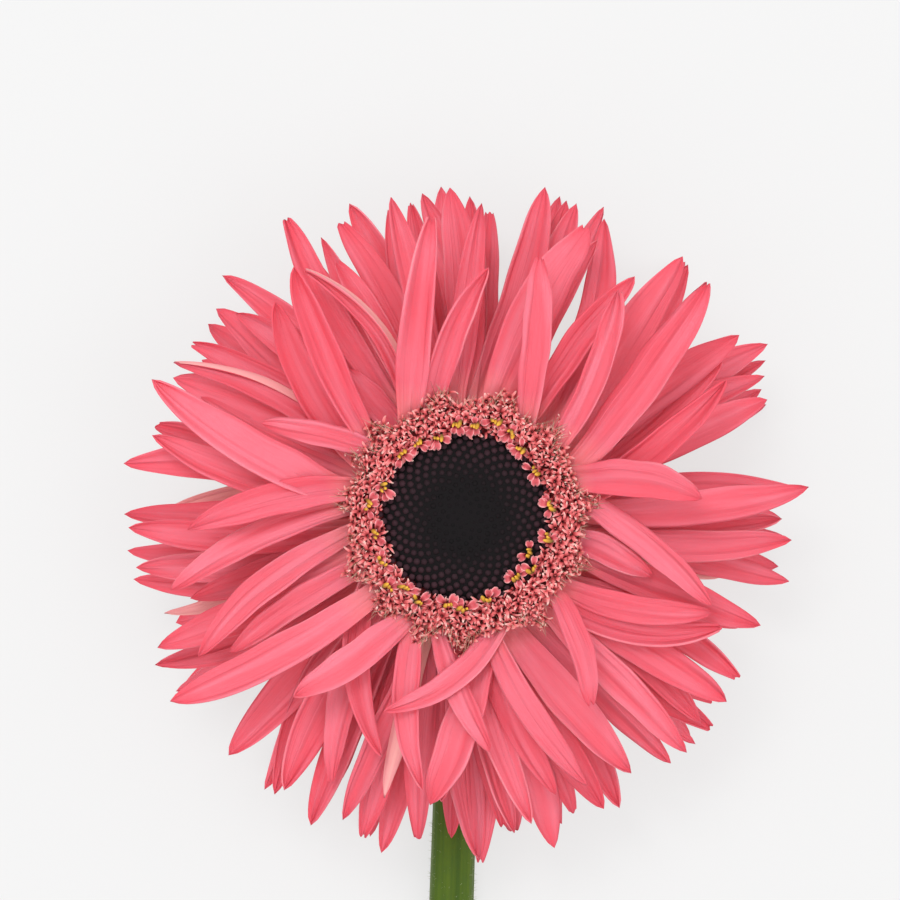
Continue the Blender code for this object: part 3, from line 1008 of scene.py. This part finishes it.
def makeAnthers():
    # short columns of fused anthers, three to each floret
    rng = random.Random(13)
    bm, layer = newMesh("lobe")
    for azimuth, radius in antherSpots:
        for part, size in enumerate(antherForm["sizes"]):
            long = antherForm["length"] * (size * rng.uniform(0.85, 1.15))
            wide = antherForm["radius"] * (1.15 - 0.15 * part)
            made = bmesh.ops.create_uvsphere(bm, u_segments=8, v_segments=6, radius=1.0)["verts"]
            for vert in made:
                height = vert.co.z
                vert[layer] = (height + 1) / 2
                turn = math.atan2(vert.co.y, vert.co.x)
                ridge = 1 + antherForm["ridge"] * math.cos(4 * turn)
                vert.co.x = vert.co.x * wide * ridge
                vert.co.y = vert.co.y * wide * ridge
                vert.co.z = height * long / 2
            beside = azimuth + (part - 1) * rng.uniform(1.5, 3.0)
            out = (radius + evenly(rng, 0.3)) * mm
            top = lipForm["top"] + rng.uniform(*antherForm["above"]) * mm - innerDrop(radius)
            lean = rng.uniform(*antherForm["lean"])
            heading = azimuth + evenly(rng, antherForm["spread"])
            spin = rng.uniform(0, 90)
            place = leanMatrix(axis + polar(beside, out, top), heading, lean, spin)
            bmesh.ops.transform(bm, matrix=place, verts=made)
    pieceFrom(bm, "anthers", ["anther"])


# the dark middle

discForm = {
    "radius": 14.4 * mm,
    "bedRadius": 13.4 * mm,
    "bedSteps": 10,
    "rise": 2.6 * mm,
    "edge": 0.9 * mm,
    "bud": 0.6 * mm,
    "spacing": 0.71 * mm,
    "groove": 0.14,
    "sunk": 0.1 * mm,
    "lean": 14,  # at the edge
}


def discHeight(radius):
    # a low dome that drops to its edge
    share = radius / discForm["radius"]
    edge = headTop + bedForm["foot"] + discForm["edge"]
    return edge + (discForm["rise"] - discForm["edge"]) * (1 - share**2.2)


def makeDisc():
    steps = discForm["bedSteps"]
    foot = headTop + bedForm["foot"]
    profile = [(0, foot), (discForm["bedRadius"], foot)]
    for step in range(steps, -1, -1):
        radius = discForm["bedRadius"] * step / steps
        profile.append((radius, discHeight(radius) + 0.02 * mm))
    turnedBed("discBed", profile, ("disc_florets",))
    rng = random.Random(17)
    bm, layer = newMesh("lobe")
    last = int((discForm["radius"] / discForm["spacing"]) ** 2)
    for number in range(1, last):
        radius = discForm["spacing"] * math.sqrt(number)
        azimuth = number * goldenTurn % 360
        share = radius / discForm["radius"]
        made = bmesh.ops.create_icosphere(bm, subdivisions=2, radius=discForm["bud"])["verts"]
        for vert in made:
            turn = math.atan2(vert.co.y, vert.co.x)
            if vert.co.z > 0:  # five closed lobes meet at the bud's top
                groove = 1 - discForm["groove"] * abs(math.sin(2.5 * turn)) * (vert.co.z / discForm["bud"])
                vert.co.x *= groove
                vert.co.y *= groove
            vert.co.z *= 0.3 + 1.0 * share
            vert[layer] = min(1.0, max(0.0, share + evenly(rng, 0.04)))
        spot = axis + polar(azimuth, radius, discHeight(radius) - discForm["sunk"])
        lean = discForm["lean"] * share + evenly(rng, 8)
        spin = rng.uniform(0, 72)
        size = 0.66 + 0.36 * share + evenly(rng, 0.08)
        place = leanMatrix(spot, azimuth, lean, spin, size)
        bmesh.ops.transform(bm, matrix=place, verts=made)
    pieceFrom(bm, "discBuds", ["discBud"])
    print("disc buds:", last)


makeRing()
makeStrands()
makeTransBed()
makeLips()
makeAnthers()
makeDisc()


# green bracts under the head, all measures in mm

bractForm = {
    "across": 8,
    "along": 16,
    "wall": 0.5,
    "overlap": 0.22,  # how far every second bract lies under its neighbours
    "wrap": 0.35,  # how far its sides bend down
    "keel": 0.18,
    "tipDrop": 0.3,
    "uneven": (-1.2, 0.4),  # how much longer or shorter than its row
    # the underside that the bracts lie along, from the neck out: radius and height
    "cup": [(3.6, 18.9), (9.3, 20.3), (13.6, 22.4), (15.5, 24.1), (19.0, 24.2), (25.0, 22.9)],
    # count, root radius, reach, width, how far under the cup
    "rows": [
        ("bractsInner", 26, 11.0, 24.3, 3.6, 0.5),
        ("bractsMiddle", 20, 6.5, 21.0, 4.1, 1.1),
        ("bractsOuter", 14, 4.1, 16.6, 4.0, 1.7),
    ],
}


def cupHeight(radius):
    cup = bractForm["cup"]
    for (inner, low), (outer, high) in zip(cup, cup[1:]):
        if radius <= outer:
            return low + (high - low) * (radius - inner) / (outer - inner)
    return cup[-1][1]


def bractShare(along):
    # half width as a share of the widest, which is halfway along
    if along < 0.5:
        return 0.55 + 0.45 * smoothShare(along / 0.5)
    return 1 - (2 * along - 1) ** 2


def makeBracts():
    form = bractForm
    for row, (name, count, rootRadius, tipRadius, width, under) in enumerate(form["rows"]):
        rng = random.Random(31 + row)
        bm, toneLayer = newMesh("tone", withUv=True)
        for number in range(count):
            grid = bmesh.ops.create_grid(
                bm, x_segments=form["across"], y_segments=form["along"], size=1, calc_uvs=True
            )["verts"]
            azimuth = 360 * (number + 0.5 * (row % 2)) / count + rng.uniform(-2, 2)
            reach = tipRadius + rng.uniform(*form["uneven"])
            tone = rng.random()
            lift = form["overlap"] if number % 2 else 0.0
            for vert, across, along in places(grid):
                radius = rootRadius + (reach - rootRadius) * along
                share = bractShare(along)
                height = sum(cupHeight(radius + step) for step in (-1, 0, 1)) / 3 - under - lift
                wrap = form["wrap"] * across * across * share
                height -= wrap + form["keel"] * (1 - abs(across)) ** 2 * share
                height -= form["tipDrop"] * smoothShare((along - 0.7) / 0.3)
                spot = polar(azimuth, radius) + polar(azimuth - 90, width / 2 * share * across)
                vert.co = axis + Vector((spot.x, spot.y, height)) * mm
                vert[toneLayer] = tone
        bmesh.ops.remove_doubles(bm, verts=bm.verts, dist=rayForm["join"])
        bmesh.ops.recalc_face_normals(bm, faces=bm.faces)
        replaced = ("involucre",) if row == 0 else ()
        pieceFrom(bm, name, ["bractSkin"], replaced, form["wall"] * mm)
    print("bracts made")


makeBracts()


# stem

stemForm = {
    "run": 365 * mm,
    "bow": 4.5 * mm,
    "cutRadius": 4.2 * mm,
    "neckRadius": 3.6 * mm,
    "bend": 15 * mm,
    "sides": 36,
    "rings": 150,
    "neckRings": 26,
    "join": 0.01 * mm,
    "ribs": 7,
    "rib": 0.02,
    "rough": 0.012,
    # the cut end: rings of pith that dish in a little
    "pithRings": 5,
    "pithFirst": 0.81,
    "pithStep": 0.19,
    "pithDish": 0.12 * mm,
}
stemStraight = stemForm["run"] - stemForm["bend"]
stemArc = stemForm["bend"] * math.pi / 2


def stemSpot(share):
    # the stem's middle line from the cut end (0) to the neck's top (1): place, heading, radius
    form = stemForm
    length = share * (stemStraight + stemArc)
    if length <= stemStraight:
        run = form["run"] - length
        left = (run - form["bend"]) / stemStraight
        radius = form["neckRadius"] + (form["cutRadius"] - form["neckRadius"]) * left**0.5
        bow = -form["bow"] * math.sin(math.pi * run / form["run"])
        slope = form["bow"] * math.pi / form["run"] * math.cos(math.pi * run / form["run"])
        return Vector((bow, -run, radius)), Vector((slope, 1, 0)).normalized(), radius
    turn = (length - stemStraight) / form["bend"]
    aside = -form["bow"] * math.sin(math.pi * form["bend"] / form["run"]) * (1 - math.sin(turn))
    height = form["neckRadius"] + form["bend"] * (1 - math.cos(turn))
    spot = Vector((aside, form["bend"] * (math.sin(turn) - 1), height))
    return spot, Vector((0, math.cos(turn), math.sin(turn))), form["neckRadius"]


def stemSkin(share, turn):
    # a point of the stem's skin; turn goes round it, in radians
    spot, heading, radius = stemSpot(share)
    across = Vector((1, 0, 0))
    across = (across - heading * across.dot(heading)).normalized()
    up = across.cross(heading)
    rib = stemForm["rib"] * math.cos(stemForm["ribs"] * turn + 1.5 * math.sin(share * 9))
    cloud = noise.noise(Vector((math.cos(turn) * 2, math.sin(turn) * 2, share * 60)))
    out = across * math.cos(turn) + up * math.sin(turn)
    swell = 1 - stemForm["rib"] + rib + stemForm["rough"] * cloud
    return spot + out * radius * swell, out, heading


def closeStem(bm, layer, edges, look):
    # closes one end; look is 1 at the cut end and 0 at the neck's top
    rim = dict.fromkeys(vert for edge in edges for vert in edge.verts)
    middle = sum((vert.co for vert in rim), Vector()) / len(rim)
    for step in range(stemForm["pithRings"] if look else 1):
        made = bmesh.ops.extrude_edge_only(bm, edges=edges)["geom"]
        edges = [part for part in made if isinstance(part, bmesh.types.BMEdge) and part.is_boundary]
        share = stemForm["pithFirst"] - stemForm["pithStep"] * step
        for vert in {vert for edge in edges for vert in edge.verts}:
            vert.co = middle + (vert.co - middle) * (share / (share + stemForm["pithStep"]))
            vert.co.y += stemForm["pithDish"] * look
            vert[layer] = share
        for face in made:
            if isinstance(face, bmesh.types.BMFace):
                face.material_index = look
    for face in bmesh.ops.edgeloop_fill(bm, edges=edges)["faces"]:
        face.material_index = look


def makeStem():
    bm, layer = newMesh("lobe", withUv=True)
    rings = stemForm["rings"] + stemForm["neckRings"]
    bmesh.ops.create_grid(bm, x_segments=stemForm["sides"], y_segments=rings, size=1, calc_uvs=True)
    neckShare = stemArc / (stemStraight + stemArc)
    for vert in bm.verts:
        ring = (vert.co.y + 1) / 2 * rings
        if ring <= stemForm["rings"]:
            share = (1 - neckShare) * ring / stemForm["rings"]
        else:
            share = 1 - neckShare + neckShare * (ring - stemForm["rings"]) / stemForm["neckRings"]
        vert.co = axis + stemSkin(share, math.pi * vert.co.x)[0]
        vert[layer] = 1.0
    bmesh.ops.remove_doubles(bm, verts=bm.verts, dist=stemForm["join"])
    rims = [edge for edge in bm.edges if edge.is_boundary]
    lowest = stemForm["bend"]  # the cut end lies lower than this, and the neck's top higher
    closeStem(bm, layer, [edge for edge in rims if edge.verts[0].co.z < lowest], 1)
    closeStem(bm, layer, [edge for edge in rims if edge.verts[0].co.z >= lowest], 0)
    bmesh.ops.recalc_face_normals(bm, faces=bm.faces)
    bmesh.ops.triangulate(bm, faces=[face for face in bm.faces if len(face.verts) > 4])
    pieceFrom(bm, "stemStalk", ["stemSkin", "stemCut"], ("stem",))
    print("stem made")


hairForm = {
    "count": 2600,
    "length": (0.35, 0.95),  # mm
    "radius": 0.035 * mm,
    "floorGap": 1.2 * mm,  # none grows downwards below this height
    "join": 0.002 * mm,
}


def makeHairs():
    rng = random.Random(53)
    bm, layer = newMesh("lobe")
    made = 0
    while made < hairForm["count"]:
        share = rng.random() ** 0.7
        spot, out, heading = stemSkin(share, rng.uniform(-math.pi, math.pi))
        if spot.z < hairForm["floorGap"] and out.z < 0:
            continue
        length = rng.uniform(*hairForm["length"]) * mm
        hair = bmesh.ops.create_cone(
            bm, cap_ends=False, segments=3, radius1=hairForm["radius"], radius2=0.0, depth=length
        )["verts"]
        for vert in hair:
            vert[layer] = 0.0 if vert.co.z < 0 else 1.0
            vert.co.z += length / 2
        aim = out + heading * rng.uniform(-0.2, 0.7)
        aim += Vector((evenly(rng, 0.35), evenly(rng, 0.35), rng.uniform(-0.2, 0.35)))
        turnTo = Vector((0, 0, 1)).rotation_difference(aim.normalized()).to_matrix().to_4x4()
        bmesh.ops.transform(bm, matrix=Matrix.Translation(axis + spot) @ turnTo, verts=hair)
        made += 1
    bmesh.ops.remove_doubles(bm, verts=bm.verts, dist=hairForm["join"])
    pieceFrom(bm, "stemHairs", ["stemHair"])
    print("stem hairs:", made)


makeStem()
makeHairs()

# the receptacle keeps its CAD shape
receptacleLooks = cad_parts["receptacle"].data.materials
receptacleLooks.clear()
receptacleLooks.append(materials["receptacleSkin"])


# floor, light and camera

stageForm = {
    "floorSize": 6.0,
    "worldStrength": 1.02,
    # name, place from the head's top, size, power
    "lights": [("keyLight", (-0.28, 0.5, 1.25), 0.5, 6.2), ("fillLight", (0.6, -0.4, 1.2), 0.8, 2.5)],
    "cameraSpot": (-2.64 * mm, 11.0 * mm, 853.3 * mm),  # from the head's axis at the floor
    "lens": 200,
}
floorLook = {
    "mottle": (30.0, 2.0),
    "base": ("Mottle", [(0.0, (0.2, 0.2, 0.2)), (1.0, (0.202, 0.202, 0.202))]),
    "shader": {
        "Roughness": 0.9,
        "Specular IOR Level": 0.1,
        "Emission Color": (1, 1, 1),
        "Emission Strength": 0.645,
    },
}


def placeObject(name, data, spot=(0, 0, 0)):
    made = bpy.data.objects.new(name, data)
    made.location = spot
    bpy.context.scene.collection.objects.link(made)
    return made


def makeFloor():
    bm = bmesh.new()
    bmesh.ops.create_grid(bm, x_segments=1, y_segments=1, size=stageForm["floorSize"] / 2)
    mesh = bpy.data.meshes.new("floor")
    bm.to_mesh(mesh)
    bm.free()
    mesh.materials.append(skinMaterial("floorPaper", floorLook))
    placeObject("floor", mesh)


def makeLight():
    world = bpy.data.worlds.new("studio")
    world.use_nodes = True
    background = world.node_tree.nodes["Background"]
    feed(world.node_tree, (1, 1, 1), background.inputs["Color"])
    feed(world.node_tree, stageForm["worldStrength"], background.inputs["Strength"])
    bpy.context.scene.world = world
    head = axis + Vector((0, 0, headTop))
    for name, away, size, power in stageForm["lights"]:
        light = bpy.data.lights.new(name, "AREA")
        light.shape = "DISK"
        light.size = size
        light.energy = power
        holder = placeObject(name, light, head + Vector(away))
        holder.rotation_euler = (-Vector(away)).to_track_quat("-Z", "Y").to_euler()


def makeCamera():
    lens = bpy.data.cameras.new("camera")
    lens.lens = stageForm["lens"]
    lens.sensor_width = 36
    lens.clip_start = 0.01
    lens.clip_end = 20
    camera = placeObject("camera", lens, axis + Vector(stageForm["cameraSpot"]))
    bpy.context.scene.camera = camera


makeFloor()
makeLight()
makeCamera()
bpy.context.scene.view_settings.view_transform = "Standard"
print("stage set")
